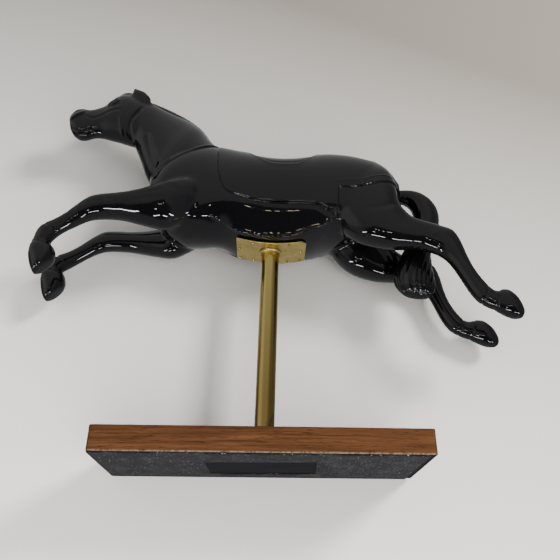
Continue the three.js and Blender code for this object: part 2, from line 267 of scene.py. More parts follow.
def bump(height, depth, under=None):
    # depth is the relief in metres and its strength; under is another bump that this one lies on
    inputs = {"Height": height, "Distance": depth[0], "Strength": depth[1]}
    if under:
        inputs["Normal"] = under
    return addNode(height.id_data, "ShaderNodeBump", inputs).outputs["Normal"]


# the black lacquer, its orange peel and dust; depths are in metres, with the bump's strength
lacquer = {
    "colour": (0.0026, 0.0026, 0.0031, 1), "dust": (0.030, 0.029, 0.027, 1), "rough": (0.015, 0.06),
    "specks": ((1400, 2, 0.5), (0.70, 0.78)), "patches": ((28, 3, 0.5), (0.45, 0.7)),
    "smears": ((45, 5, 0.6, 0.6), (0.35, 0.75)), "peel": (170, 2, 0.4), "peelDepth": (0.00010, 0.22),
}


def lacquerMaterial():
    material, tree, shader = startMaterial("blackLacquer", {"IOR": 1.5, "Metallic": 0.0})
    place = objectPlace(tree)
    specks, patches = layer(place, lacquer["specks"]), layer(place, lacquer["patches"])
    dust = calculate("MULTIPLY", specks, patches)
    colour = mixColours(dust, lacquer["colour"], lacquer["dust"])
    smears = layer(place, lacquer["smears"], *lacquer["rough"])
    peel = bump(noise(place, *lacquer["peel"]), lacquer["peelDepth"])
    connect(tree, shader, colour, smears, peel)
    return material


# the rod's and the nails' brass: it dulls towards the board, and stains close above it
rodBrass = {
    "clean": (0.66, 0.52, 0.175, 1), "tarnish": (0.20, 0.115, 0.035, 1), "rough": (0.10, 0.24),
    "roughSpan": (0.3, 1.3), "stained": (90, 25), "dulled": (175, 55), "dullMost": 0.55,
    "streaks": (420, 5, 0.6), "streakSpan": (0.55, 0.85), "streakMost": 0.35, "streakStretch": (1, 1, 0.05),
    "stains": ((75, 4, 0.6, 0.5), (0.30, 0.52)), "stainStretch": (1, 1, 0.4),
    "lines": (900, 4, 0.6), "lineDepth": (0.00003, 0.4),
}


def rodMaterial():
    material, tree, shader = startMaterial("polishedBrass", {"Metallic": 1.0})
    along = objectPlace(tree, rodBrass["streakStretch"])
    height = heightOf(objectPlace(tree))
    streaks = noise(along, *rodBrass["streaks"])
    stains = layer(objectPlace(tree, rodBrass["stainStretch"]), rodBrass["stains"])
    stains = calculate("MULTIPLY", stains, aboveBoard(height, rodBrass["stained"]))
    dull = spread(streaks, *rodBrass["streakSpan"], 0, rodBrass["streakMost"])
    dull = calculate("MAXIMUM", dull, stains)
    lower = aboveBoard(height, rodBrass["dulled"], 0, rodBrass["dullMost"])
    dull = calculate("MAXIMUM", dull, lower)
    colour = mixColours(dull, rodBrass["clean"], rodBrass["tarnish"])
    rough = spread(calculate("ADD", streaks, dull), *rodBrass["roughSpan"], *rodBrass["rough"])
    lines = bump(noise(along, *rodBrass["lines"]), rodBrass["lineDepth"])
    connect(tree, shader, colour, rough, lines)
    return material


# the bent strip's and the collar's brass, clouded, scratched along the horse and dented
sheetBrass = {
    "rubbed": (0.80, 0.63, 0.225, 1), "cloudy": (0.54, 0.41, 0.13, 1), "scratched": (0.90, 0.76, 0.40, 1),
    "clouds": ((90, 6, 0.65, 0.4), (0.35, 0.7)), "rough": (0.28, 0.44),
    "scratches": (1300, 4, 0.6), "scratchSpan": (0.58, 0.72), "scratchMost": 0.6,
    "scratchStretch": (0.08, 1, 1), "scratchTurn": (0, 0, 0.35), "scratchDepth": (0.00004, 0.6),
    "dents": (260, 4, 0.6), "dentDepth": (0.00018, 0.5),
}


def plateMaterial():
    material, tree, shader = startMaterial("wornSheetBrass", {"Metallic": 1.0})
    place = objectPlace(tree)
    clouds = layer(place, sheetBrass["clouds"])
    along = objectPlace(tree, sheetBrass["scratchStretch"], sheetBrass["scratchTurn"])
    scratches = noise(along, *sheetBrass["scratches"])
    scratched = spread(scratches, *sheetBrass["scratchSpan"], 0, sheetBrass["scratchMost"])
    tone = mixColours(clouds, sheetBrass["rubbed"], sheetBrass["cloudy"])
    dents = bump(noise(place, *sheetBrass["dents"]), sheetBrass["dentDepth"])
    colour = mixColours(scratched, tone, sheetBrass["scratched"])
    rough = spread(clouds, 0, 1, *sheetBrass["rough"])
    connect(tree, shader, colour, rough, bump(scratches, sheetBrass["scratchDepth"], dents))
    return material


# the board's wood: figure, blotches, dark lines and pores, then a frayed lower edge and a dark underside
wood = {
    "dark": (0.024, 0.010, 0.005, 1), "middle": (0.082, 0.034, 0.014, 1), "light": (0.145, 0.065, 0.027, 1),
    "poreColour": (0.022, 0.009, 0.005, 1), "frayColour": (0.20, 0.16, 0.12, 1),
    "underside": (0.004, 0.004, 0.005, 1),
    "grainTurn": (0.12, -0.02, 0.03), "figureStretch": (0.05, 1, 1), "lineStretch": (0.025, 1, 1),
    "poreStretch": (0.045, 1, 1), "blotchStretch": (0.4, 1, 1),
    "figure": ((120, 6, 0.6, 1.4), (0.33, 0.68)), "pores": ((2600, 2, 0.5), (0.60, 0.70)),
    "blotches": ((38, 3, 0.5), (0.3, 0.7)), "blotchAmount": (0.25, 0.8),
    "lines": (900, 4, 0.65, 0.3), "lineSpan": (0.50, 0.72), "lineMost": 0.75,
    "fray": ((480, 4, 0.6), (0.35, 0.6)), "frayHeight": (1.6, 0.5), "undersideHeight": (0.22, 0.08),
    "roughSpan": (0.3, 0.8), "rough": (0.36, 0.56), "reliefDepth": (0.00010, 0.5),
}


def woodMaterial():
    material, tree, shader = startMaterial("oiledHardwood", {"IOR": 1.46, "Specular IOR Level": 0.03})
    place = objectPlace(tree)
    turn = wood["grainTurn"]
    figure = layer(objectPlace(tree, wood["figureStretch"], turn), wood["figure"])
    lines = noise(objectPlace(tree, wood["lineStretch"], turn), *wood["lines"])
    pores = layer(objectPlace(tree, wood["poreStretch"], turn), wood["pores"])
    blotches = layer(objectPlace(tree, wood["blotchStretch"]), wood["blotches"], *wood["blotchAmount"])
    height = heightOf(place)
    lowEdge = aboveBoard(height, wood["frayHeight"])
    tone = mixColours(figure, wood["dark"], wood["light"])
    tone = mixColours(blotches, tone, wood["middle"])
    tone = mixColours(spread(lines, *wood["lineSpan"], 0, wood["lineMost"]), tone, wood["dark"])
    tone = mixColours(pores, tone, wood["poreColour"])
    frayed = calculate("MULTIPLY", lowEdge, layer(place, wood["fray"]))
    tone = mixColours(frayed, tone, wood["frayColour"])
    tone = mixColours(aboveBoard(height, wood["undersideHeight"]), tone, wood["underside"])
    connect(tree, shader, tone, spread(lines, *wood["roughSpan"], *wood["rough"]),
            bump(calculate("SUBTRACT", lines, pores), wood["reliefDepth"]))
    return material


# the felt: dark fibres across the board, worn grey clouds and pale specks of lint
feltCloth = {
    "dark": (0.004, 0.004, 0.006, 1), "light": (0.015, 0.0155, 0.019, 1),
    "wornColour": (0.050, 0.048, 0.047, 1), "lintColour": (0.36, 0.35, 0.34, 1),
    "fibres": (1500, 5, 0.7, 1.2), "fibreStretch": (1, 0.35, 1), "fibreSpan": (0.3, 0.75),
    "fibreDepth": (0.0004, 0.9), "worn": ((55, 5, 0.6), (0.5, 0.75)), "wornMost": 0.6,
    "lint": ((560, 3, 0.6), (0.635, 0.71)),
}


def feltMaterial():
    sockets = {"Roughness": 1.0, "Sheen Weight": 0.03, "Sheen Roughness": 0.6, "Specular IOR Level": 0.05}
    material, tree, shader = startMaterial("darkFelt", sockets)
    place = objectPlace(tree)
    fibres = noise(objectPlace(tree, feltCloth["fibreStretch"]), *feltCloth["fibres"])
    tone = spread(fibres, *feltCloth["fibreSpan"])
    tone = mixColours(tone, feltCloth["dark"], feltCloth["light"])
    worn = layer(place, feltCloth["worn"], 0, feltCloth["wornMost"])
    tone = mixColours(worn, tone, feltCloth["wornColour"])
    tone = mixColours(layer(place, feltCloth["lint"]), tone, feltCloth["lintColour"])
    connect(tree, shader, tone, None, bump(fibres, feltCloth["fibreDepth"]))
    return material


# camera, floor and light; the camera's place is in millimetres like the shapes, its angles in degrees
camera = {"place": (-1.2, -476.9, -95.9), "yaw": 1.66, "pitch": 28.41, "roll": 0.31, "lens": 39.02}


def addCamera():
    yaw, pitch, roll = (math.radians(camera[k]) for k in ("yaw", "pitch", "roll"))
    ahead = np.array([math.sin(yaw) * math.cos(pitch), math.cos(yaw) * math.cos(pitch), math.sin(pitch)])
    level = np.array([math.cos(yaw), -math.sin(yaw), 0])
    upright = np.cross(level, ahead)
    right = level * math.cos(roll) + upright * math.sin(roll)
    up = upright * math.cos(roll) - level * math.sin(roll)
    data = bpy.data.cameras.new("camera")
    data.lens = camera["lens"]
    data.clip_start = 0.01
    viewer = addObject("camera", data)
    turned = Matrix(np.stack([right, up, -ahead], 1).tolist()).to_4x4()
    viewer.matrix_world = Matrix.Translation(Vector(toFrame(camera["place"]))) @ turned
    bpy.context.scene.camera = viewer


# the two pale sheets stay out of reflections; painted shade darkens them up and to the right
stage = {
    "wall": (0.97, 0.955, 0.93, 1), "floor": (0.82, 0.81, 0.79, 1), "reach": 3.0, "wallGap": 1.5 * mm,
    "cloud": ((3.0, 3, 0.5), (0.3, 0.7)), "cloudTone": 0.965, "rough": 0.75,
    "top": (0.22, 0.20, 0.175, 1), "paintedShadeSlope": (0.5, 0, 1), "paintedShadeSpan": (-0.15, 0.62),
}


def paleSheet(name, corners, colour):
    # it is only there from its front, so that it never hides the part from behind
    material, tree, shader = startMaterial(name, {"Roughness": stage["rough"]})
    place = objectPlace(tree)
    cloudy = tuple(stage["cloudTone"] * c for c in colour[:3]) + (1,)
    shade = mixColours(layer(place, stage["cloud"]), colour, cloudy)
    # painted shade: the sheet's colour runs towards the top colour along this slope
    paintedShadeSlope = addNode(tree, "ShaderNodeVectorMath", {0: place, 1: stage["paintedShadeSlope"]}, {"operation": "DOT_PRODUCT"})
    shade = mixColours(spread(paintedShadeSlope.outputs["Value"], *stage["paintedShadeSpan"]), shade, stage["top"])
    tree.links.new(shade, shader.inputs["Base Color"])
    clear = addNode(tree, "ShaderNodeBsdfTransparent", {}).outputs[0]
    behind = addNode(tree, "ShaderNodeNewGeometry", {}).outputs["Backfacing"]
    both = addNode(tree, "ShaderNodeMixShader", {0: behind, 1: shader.outputs[0], 2: clear})
    tree.links.new(both.outputs[0], tree.nodes["Material Output"].inputs["Surface"])
    mesh = meshFrom(name, corners, [(0, 1, 2, 3)])
    mesh.materials.append(material)
    sheet = addObject(name, mesh)
    sheet.visible_shadow = False
    sheet.visible_glossy = False
    return sheet


def addStage():
    r, wallY, floorZ = stage["reach"], cadHigh.y + stage["wallGap"], cadLow.z
    square = np.array([(-r, -r), (r, -r), (r, r), (-r, r)])
    paleSheet("wall", np.insert(square, 1, wallY, 1), stage["wall"])
    paleSheet("floor", np.insert(square, 2, floorZ, 1), stage["floor"]).visible_diffuse = False


# direction from the horse, distance and size in metres, watts, colour, and whether the gloss mirrors it
lights = {
    "key": ((0.72, -0.66, 0.36), 1.5, (0.36, 0.36), 33, (1, 0.985, 0.96), False),
    "fill": ((-0.4, -0.85, 0.1), 2.0, (1.8, 1.8), 8, (0.97, 0.98, 1), False),
    "low": ((0.35, -0.72, -0.6), 1.8, (1.5, 1.5), 34, (1, 0.985, 0.965), False),
    "back": ((0.2, 0.9, 0.45), 1.8, (1.0, 1.0), 7, (1, 0.99, 0.97), False),
}
lights |= {f"ceiling{i + 1}": ((x, -0.37, -0.93), 1.6, (0.42, 0.06), 3.6, (1, 1, 1), True)
           for i, x in enumerate((-0.62, -0.22, 0.18, 0.58))}
lights["side"] = ((-0.22, -0.70, -0.67), 1.6, (0.10, 0.05), 0.5, (1, 1, 1), True)
warmPlaces = [(-0.06, -0.45), (0.0, -0.44), (0.07, -0.385), (0.10, -0.37), (-0.11, -0.43)]
lights |= {f"warm{i + 1}": ((x, -0.905, z), 1.6, (0.04, 0.03), 0.12, (1, 0.86, 0.62), True)
           for i, (x, z) in enumerate(warmPlaces)}


def addLights():
    target = np.array([0, 0, (cadLow.z + cadHigh.z) / 2])
    for name, (toward, distance, size, power, colour, mirroredInGloss) in lights.items():
        direction = np.array(toward, float) / np.linalg.norm(toward)
        data = bpy.data.lights.new(name, "AREA")
        data.shape = "RECTANGLE"
        data.size, data.size_y = size
        data.energy = power
        data.color = colour
        lamp = addObject(name, data)
        lamp.matrix_world = (Matrix.Translation(Vector(target + direction * distance))
                             @ Vector(direction).to_track_quat("Z", "Y").to_matrix().to_4x4())
        lamp.visible_camera = False
        lamp.visible_glossy = mirroredInGloss


# the room around: light from below to above, then patches: direction, cosines of its rim and core, colour
room = {
    "below": (0.36, 0.36, 0.37, 1), "above": (0.46, 0.455, 0.45, 1), "rise": (-0.6, 0.9),
    "patches": [
        ((-0.88, -0.47, 0.0), (0.80, 0.95), (0.72, 0.71, 0.69, 1)),
        ((1, -0.05, 0.1), (0.35, 0.8), (0.17, 0.17, 0.175, 1)),
        ((-1, 0.35, 0), (0.86, 0.95), (0.10, 0.10, 0.10, 1)),
        ((0.0, -0.62, -0.78), (0.79, 0.90), (0.030, 0.030, 0.034, 1)),
        ((0.0, -0.90, -0.43), (0.955, 0.975), (0.035, 0.035, 0.037, 1)),
    ],
}


def addWorld():
    world = bpy.data.worlds.new("softRoom")
    world.use_nodes = True
    tree = world.node_tree
    way = addNode(tree, "ShaderNodeTexCoord", {}).outputs["Generated"]

    def towards(direction, span):
        unit = Vector(direction).normalized()
        cosine = addNode(tree, "ShaderNodeVectorMath", {0: way, 1: unit}, {"operation": "DOT_PRODUCT"})
        inputs = {"Value": cosine.outputs["Value"], "From Min": span[0], "From Max": span[1]}
        step = addNode(tree, "ShaderNodeMapRange", inputs, {"interpolation_type": "SMOOTHSTEP"})
        return step.outputs["Result"]

    shade = mixColours(towards((0, 0, 1), room["rise"]), room["below"], room["above"])
    for direction, span, colour in room["patches"]:
        shade = mixColours(towards(direction, span), shade, colour)
    tree.links.new(shade, tree.nodes["Background"].inputs["Color"])
    bpy.context.scene.world = world


# the horse's carving
# trunk ribs: x; back z; widest y, z; belly edge y, z; belly middle z; fullness of the back
trunkRibs = [
    (-106, 268, 25, 249, 15, 235, 230, 2.1), (-95, 284, 34, 244, 23, 219, 211, 2.2),
    (-80, 298, 37.5, 243, 27, 210, 202, 2.2), (-62, 305.2, 38.5, 243, 28, 210, 201, 2.0),
    (-45, 305, 39, 241, 27, 210.5, 200.5, 1.8), (-27, 299, 40, 239, 24, 199, 196.4, 1.9),
    (-8, 290.3, 41, 238, 22.5, 194.5, 192.5, 2.2), (8, 286.5, 41.5, 238, 22.5, 193, 190.9, 2.3),
    (24, 287, 41.5, 238, 23.5, 194.8, 191.8, 2.3), (40, 292, 41, 239, 26, 199.5, 195.6, 2.1),
    (55, 296.2, 40.5, 240, 30, 206, 201, 2.0), (72, 295.2, 40.5, 242, 31, 211, 204, 2.0),
    (88, 290.5, 39.5, 244, 30, 217, 210, 2.1), (103, 284.5, 37, 246, 27, 226, 219, 2.1),
    (114.5, 275.5, 31, 247, 22, 234, 229, 2.1), (120.5, 267, 24, 249, 16, 240, 237, 2.0),
]
# limb ribs: upper edge x, z; lower edge x, z; side offset; half width; fullness; lean of the top outwards
neckRibs = [
    (-46, 302, -76, 238, 0, 29, 1.9, 0), (-57, 315, -97.5, 242, 0, 28.5, 1.9, 0),
    (-67, 329.5, -107.5, 252.5, 0, 26, 1.9, 0), (-80, 341.5, -113.5, 263.5, 0, 21.5, 1.85, 0),
    (-95, 350.5, -119.5, 276.5, 0, 18, 1.85, 0), (-109.5, 359, -124.8, 290.5, 0, 15.5, 1.85, 0),
    (-121, 366.5, -131, 305.5, 0, 13.8, 1.9, 0), (-131, 371, -136, 316, 0, 12, 2, 0),
]
headRibs = [
    (-119, 366, -126, 306, 0, 11.5, 2, 0), (-130, 372, -129.5, 309, 0, 13, 2, 0),
    (-141, 375.5, -134, 312, 0, 14.6, 2.1, 0), (-151, 376.5, -142, 315.5, 0, 15, 2.2, 0),
    (-159.5, 372, -150.5, 318.5, 0, 14, 2.2, 0), (-167, 362.5, -160, 321, 0, 12, 2.2, 0),
    (-175, 358, -168, 323, 0, 10.3, 2.2, 0), (-184, 355.5, -176, 323, 0, 9.4, 2.2, 0),
    (-191.5, 357, -183.5, 320, 0, 9.8, 2.2, 0), (-197.6, 354.8, -190.8, 320.3, 0, 10, 2.3, 0),
    (-201.4, 348.6, -196.2, 324.5, 0, 9, 2.3, 0),
]
# the ear's ribs run up from its foot, with the front edge first
earRibs = [
    (-144, 367, -121, 361, -7.2, 3.6, 2, 0), (-143, 371, -122.5, 367, -7.8, 3.4, 2, 0),
    (-142.2, 374.5, -125.5, 372.4, -8.3, 3, 2, 0), (-141.4, 377.8, -130.6, 377, -8.7, 2.3, 2, 0),
    (-140.8, 380.2, -136.8, 379.2, -9, 1.4, 2, 0), (-140.2, 381.6, -138.8, 381.2, -9, 0.6, 2, 0),
]
forelockRibs = [
    (-134, 376, -134, 368, 0, 4.5, 2, 0), (-141, 380.6, -139, 369, 0, 5.6, 2, 0),
    (-148, 381.2, -144, 369, -0.6, 5.8, 2, 0), (-154, 379.2, -149, 368.5, -1, 5, 2, 0),
    (-158.5, 374, -154, 366.5, -1, 3.6, 2, 0), (-161.5, 368, -158, 364, -1, 2, 2, 0),
]
maneRibs = [
    (-137, 377, -134, 366, 0.6, 3.2, 2, 0), (-121.7, 370.6, -121, 360, 1, 2.8, 2, 0),
    (-109.5, 364.8, -111, 353, 1.4, 3, 2, 0), (-95, 356.8, -97, 345, 1.6, 3.1, 2, 0),
    (-80, 346.8, -84, 336, 1.6, 3.1, 2, 0), (-67.4, 334.6, -72.5, 326, 1.5, 2.9, 2, 0),
    (-58.4, 321, -64, 315, 1.2, 2.4, 2, 0), (-54, 311, -58, 308, 1, 1.6, 2, 0),
]
forelegRibs = [
    (-52, 250, -60, 215, -24, 12, 2, 0.1), (-72, 247, -76, 206, -27, 15, 2, 0.2),
    (-92, 239, -90, 200, -29, 16, 2, 0.3), (-112, 231, -108, 202, -30, 13.5, 2, 0.32),
    (-130, 227.5, -126.5, 206, -30, 11.5, 2, 0.3), (-147, 226.5, -140, 207.5, -29, 10.2, 2.1, 0.25),
    (-158, 224.5, -151, 207, -28, 9.2, 2.2, 0.2), (-168, 218, -159, 204.5, -27, 8, 2, 0.15),
    (-178, 209.5, -169, 198.5, -26, 6.6, 2, 0.1), (-187, 203.5, -177, 193, -25.5, 6.4, 2, 0),
    (-196, 198, -182.5, 188.5, -25, 7.4, 2, 0), (-200.5, 191, -186.5, 183.5, -24.5, 6.8, 2, 0),
    (-201.6, 185, -187, 179.5, -24, 6.4, 2, 0), (-203.2, 178.5, -183.6, 176.5, -24, 8, 2.2, 0),
    (-203, 169, -181.6, 171, -24, 9.3, 2.2, 0), (-199.8, 158.5, -181, 168, -24, 9.6, 2.2, 0),
    (-196, 151.5, -181.6, 166.2, -24, 8.3, 2.2, 0),
]
hindlegRibs = [
    (104, 281, 60, 246, -14, 18, 2.1, 0), (113.5, 266, 59, 228, -19, 21, 2.3, 0),
    (118, 245, 64, 208, -23, 19.5, 2.5, 0.02), (119, 226, 80, 192, -25.5, 17, 2.6, 0.04),
    (127, 212.5, 102, 184, -27, 14, 2.5, 0.04), (138, 207, 120, 182, -28, 12, 2.3, 0.05),
    (146, 205, 132, 181.5, -28.5, 10.8, 2.2, 0.03),
    (155, 202, 143, 178, -29, 10.2, 2.1, 0), (164, 197.5, 150, 174.5, -29.5, 9.2, 2.2, 0),
    (169.5, 186, 156, 168.5, -30, 8, 2, 0), (173, 172.4, 161, 160.5, -30, 6.8, 2, 0),
    (177.6, 159, 166, 150, -30, 6.4, 2, 0), (183.6, 148, 171, 139, -30, 6.6, 2, 0),
    (189.6, 140, 177, 130, -30, 6.9, 2, 0), (193.5, 138.3, 184, 125, -30, 6.6, 2, 0),
    (197, 139.8, 190.5, 122, -30, 7.4, 2.1, 0), (203, 139.2, 197.5, 118, -30, 8.8, 2.2, 0),
    (209.5, 132, 204.5, 115, -30, 8, 2.2, 0), (213.2, 122.5, 210, 115, -30, 4.5, 2, 0),
]
tailRibs = [
    (112, 263, 112, 249, 0, 6, 2, 0), (124, 262, 124, 249.5, 0, 6.5, 2, 0), (135, 262, 132, 249, 0, 8, 2, 0),
    (145, 260.5, 137.5, 244.5, 0, 9, 2, 0), (154, 255.5, 140, 236, 0, 9.5, 2, 0),
    (160.5, 247, 140, 226, 0, 10, 2, 0), (163.5, 235, 137.5, 216, 0, 10.5, 2, 0),
    (161.5, 220, 132, 205, 0, 11, 2, 0), (155, 205, 127.5, 196, 0, 12, 2, 0),
    (151, 190, 121.5, 184, 0, 13, 2, 0), (150.5, 176, 116, 172, 0, 13.5, 2, 0),
    (151.5, 164, 116.5, 160, 0, 12.5, 2, 0), (150.5, 154, 124, 150.5, 0, 8.5, 2, 0),
    (146.5, 149, 134, 147.5, 0, 4, 2, 0),
]
horse = {
    "voxel": 1.9,  # size of the first even net over the carving
    "evenRounds": 14, "blendRounds": 50, "swell": 0.4, "refineBroad": 4.0, "refineFine": 1.6,
    "refineFace": 5.0,
    # where the areas begin
    "trunkLow": 205, "trunkRear": 124, "seatLow": 258, "headRear": -118, "headLow": 296,
}
# the cloth's rise over the body, how it turns in under the belly, and the step below its lower edge
cloth = {
    "rise": 0.9, "edge": (-0.4, 0.4), "rollFade": (2, -2), "low": 220.5, "tuck": 0.035, "front": (-66, -40),
    "rear": (74, 56), "step": 1.0, "stepStart": (0.1, -0.7), "stepFade": (-7, -1), "stepHeights": (192, 224),
    "stepFront": (-46, -38), "stepRear": (62, 57), "stepSide": 22, "behindRoll": 2.3, "seam": 0.8, "hem": 0.5,
}
seat = {"drop": 0.7, "edge": (-0.6, 0.6), "grooveIn": 0.8, "lipOut": 1.2, "front": (-30, -26),
        "rear": (57, 53)}
# the eye is an oval with a lid and a rim at these shares of its size
eye = {"x": -158.6, "z": 357.6, "turn": 30, "long": 4.4, "tall": 2.7, "ball": 1.2, "lid": 1.36, "rim": 1.05}
cheek = {"crest": 0, "underCrest": -3.0, "overCrest": 2.4}  # the cheekbone's lines, by their rise
# ridges (above 0) and grooves (below 0) that follow the carved lines: height and width
relief = {
    "roll": (1.0, 1.25), "rollGroove": (-0.6, 0.8), "bellyFold": (0.7, 1.4), "seatGroove": (-0.6, 0.9),
    "seatLip": (0.5, 1.2), "throat": (-1.5, 1.7), "strap": (0.6, 1.1), "crest": (-0.5, 1.3),
    "overCrest": (0.4, 2.0), "underCrest": (0.15, 2.0), "neckGroove": (-1.4, 3.4), "forearm": (-1.1, 1.7),
    "hip": (-1.2, 2.0), "clothGroove": (-0.6, 0.5), "rollFront": (-0.5, 0.5), "clothHem": (0.25, 0.45),
    "hem": (0.3, 0.6), "bellyLine": (0.35, 0.55), "seatLine": (-0.9, 0.6), "mane": (-0.9, 0.8),
    "hoof": (-0.55, 0.9), "mouth": (-1.5, 0.9), "wing": (0.9, 1.8), "nostril": (-1.9, 1.2),
    "eyelid": (1.1, 0.2), "eyeRim": (-0.9, 0.12),
}
# the tail's strands: waves round and along it, where they start and deepen, shallow and added depth
strands = {"round": 8, "along": 26, "fineRound": 17, "fineAlong": 50, "start": (0.08, 0.2),
           "deepen": (0.5, 0.85), "depth": (0.12, 0.75)}
# where one form runs softly into another: x, |y|, z, reach
softPlaces = [
    (-66, 27, 238, 26), (-120, 6, 352, 16), (-122, 8, 330, 14), (86, 30, 232, 26), (116, 5, 256, 12),
    (-90, 18, 262, 16), (-56, 10, 300, 14), (100, 22, 210, 14),
]


def limbRings(ribs, steps, around):
    # each rib is a squared ellipse: across it runs the half width, along it the line from lower to upper edge
    rows = smoothRows(ribs, steps)[:, :, None]
    ux, uz, lx, lz, side, half, fullness, lean = np.moveaxis(rows, 1, 0)
    angle = np.arange(around)[None] / around * 2 * math.pi
    wide = signedPower(np.cos(angle), 2 / fullness)
    high = signedPower(np.sin(angle), 2 / fullness)
    tall = np.hypot(ux - lx, uz - lz) / 2
    y = side + half * wide + np.sign(side) * lean * tall * high
    return np.stack([(ux + lx) / 2 + (ux - lx) / 2 * high, y, (uz + lz) / 2 + (uz - lz) / 2 * high], -1)


def trunkRings(steps, overBack, underSide, acrossBelly):
    # half a section goes over the back as a squared ellipse, in to the belly edge and flat to the middle;
    # near both ends it runs in as an arc; along the belly it drops to the cloth's edge and slants in
    rows = smoothRows(trunkRibs, steps)[:, :, None]
    x, back, wide, wideZ, edge, edgeZ, middle, fullness = np.moveaxis(rows, 1, 0)
    tuck = 0.72 * math.pi / 2
    a = np.arange(overBack)[None] / overBack * math.pi / 2
    share = np.arange(underSide)[None] / underSide
    b = share * tuck
    s = 1 - np.arange(acrossBelly + 1)[None] / acrossBelly
    arcY = wide + (edge - wide) * (1 - np.cos(b)) / (1 - math.cos(tuck))
    arcZ = wideZ + (edgeZ - wideZ) * np.sin(b) / math.sin(tuck)
    slantZ = wideZ + (edgeZ - wideZ) * share
    low = cloth["low"]
    wall = wide * (1 - cloth["tuck"] * np.clip((wideZ - slantZ) / (wideZ - low), 0, 1) ** 2)
    rim = wide * (1 - cloth["tuck"])
    slant = rim + (edge - rim) * np.clip((low - slantZ) / (low - edgeZ), 0, 1)
    slantY = np.where(slantZ > low, wall, slant)
    belly = smoothStep(x, *cloth["front"]) * smoothStep(x, *cloth["rear"])
    y = np.hstack([wide * np.sin(a) ** (2 / fullness), arcY + (slantY - arcY) * belly, edge * s])
    z = np.hstack([wideZ + (back - wideZ) * np.cos(a) ** (2 / fullness), arcZ + (slantZ - arcZ) * belly,
                   middle + (edgeZ - middle) * s * s])
    y, z = np.hstack([-y, y[:, -2:0:-1]]), np.hstack([z, z[:, -2:0:-1]])
    return np.stack([np.broadcast_to(x, y.shape), y, z], -1)


def otherSide(ribs, shift):
    # the same limb across the middle; each rib is moved along x, and its upper and lower edges along z
    rows = np.array(ribs, float)
    along, upper, lower = shift(np.arange(len(rows)))
    rows[:, 0] += along
    rows[:, 2] += along
    rows[:, 1] += upper
    rows[:, 3] += lower
    rows[:, 4] *= -1
    return rows


def farForelegShift(i):
    hoof = 2 * smoothStep(i, 13, 16)
    upper = 1.4 * bell(i - 5, 2.6) - 3 * bell(i - 9.5, 1.8) - hoof
    shank = 2 * smoothStep(i, 2.5, 5) * (1 - smoothStep(i, 11, 13))
    lower = -2.5 * bell(i - 1.5, 1.6) - shank - 1.6 * bell(i - 10, 1.5) - hoof
    return -4.5 * smoothStep(i, 8, 12.5), upper, lower


def farHindlegShift(i):
    lower = -1 - 3 * bell(i - 4, 3.2) - 1.5 * bell(i - 9, 1.8)
    return 1.2 * smoothStep(i, 15, 17.5) - 1.5 - 5 * bell(i - 12.2, 3.2), lower, lower


def noShift(i):
    return 0 * i, 0 * i, 0 * i


def horseForms():
    farForeleg = otherSide(forelegRibs, farForelegShift)
    farHindleg = otherSide(hindlegRibs, farHindlegShift)
    # ribs, steps between ribs, points around, and how far the first and the last end bulge
    limbs = [
        (neckRibs, 8, 64, 0.5, 0.5), (headRibs, 8, 56, 0.5, 0.35), (tailRibs, 8, 48, 0.5, 0.5),
        (forelegRibs, 6, 48, 0.5, 0.15), (farForeleg, 6, 48, 0.5, 0.15),
        (hindlegRibs, 6, 48, 0.5, 0.3), (farHindleg, 6, 48, 0.5, 0.3), (maneRibs, 6, 24, 0.5, 0.5),
        (earRibs, 6, 24, 0.5, 0.3), (otherSide(earRibs, noShift), 6, 24, 0.5, 0.3),
        (forelockRibs, 6, 24, 0.5, 0.5),
    ]
    forms = [ringSolid(roundEnds(trunkRings(7, 16, 12, 8), 0.3, 0.3))]
    forms += [ringSolid(roundEnds(limbRings(ribs, steps, around), start, end))
              for ribs, steps, around, start, end in limbs]
    return forms


def joinedNet(forms, voxel):
    # all forms in one mesh, wrapped in one even net of small quads
    points, faces, offset = [], [], 0
    for formPoints, formFaces in forms:
        mesh = meshFrom("form", formPoints, formFaces)
        outwards(mesh)
        points.append(formPoints)
        faces += [tuple(v + offset for v in polygon.vertices) for polygon in mesh.polygons]
        offset += len(formPoints)
        bpy.data.meshes.remove(mesh)
    mesh = meshFrom("forms", np.vstack(points), faces)
    carrier = addObject("forms", mesh)
    wrap = carrier.modifiers.new("wrap", "REMESH")
    wrap.mode = "VOXEL"
    wrap.voxel_size = voxel
    wrapped = bpy.data.meshes.new_from_object(carrier.evaluated_get(bpy.context.evaluated_depsgraph_get()))
    bpy.data.objects.remove(carrier)
    bpy.data.meshes.remove(mesh)
    return wrapped


def meshPoints(mesh):
    points = np.empty(len(mesh.vertices) * 3)
    mesh.vertices.foreach_get("co", points)
    return points.reshape(-1, 3)


def meshNormals(mesh):
    normals = np.empty(len(mesh.vertices) * 3, np.float32)
    mesh.vertex_normals.foreach_get("vector", normals)
    return normals.reshape(-1, 3).astype(float)


def setPoints(mesh, points):
    mesh.vertices.foreach_set("co", points.ravel())
    mesh.update()


def relax(mesh, rounds, weight=1.0):
    # every point goes part of the way to the mean of its neighbours, then a little more than that back out
    points = meshPoints(mesh)
    edges = np.empty(len(mesh.edges) * 2, int)
    mesh.edges.foreach_get("vertices", edges)
    a, b = edges.reshape(-1, 2).T
    size = len(points)
    count = (np.bincount(a, minlength=size) + np.bincount(b, minlength=size))[:, None]
    weight = np.broadcast_to(weight, size)[:, None]
    for step in [0.5, -0.52] * rounds:
        total = np.stack([np.bincount(a, points[b, k], size) + np.bincount(b, points[a, k], size)
                          for k in range(3)], 1)
        points = points + step * weight * (total / count - points)
    setPoints(mesh, points)


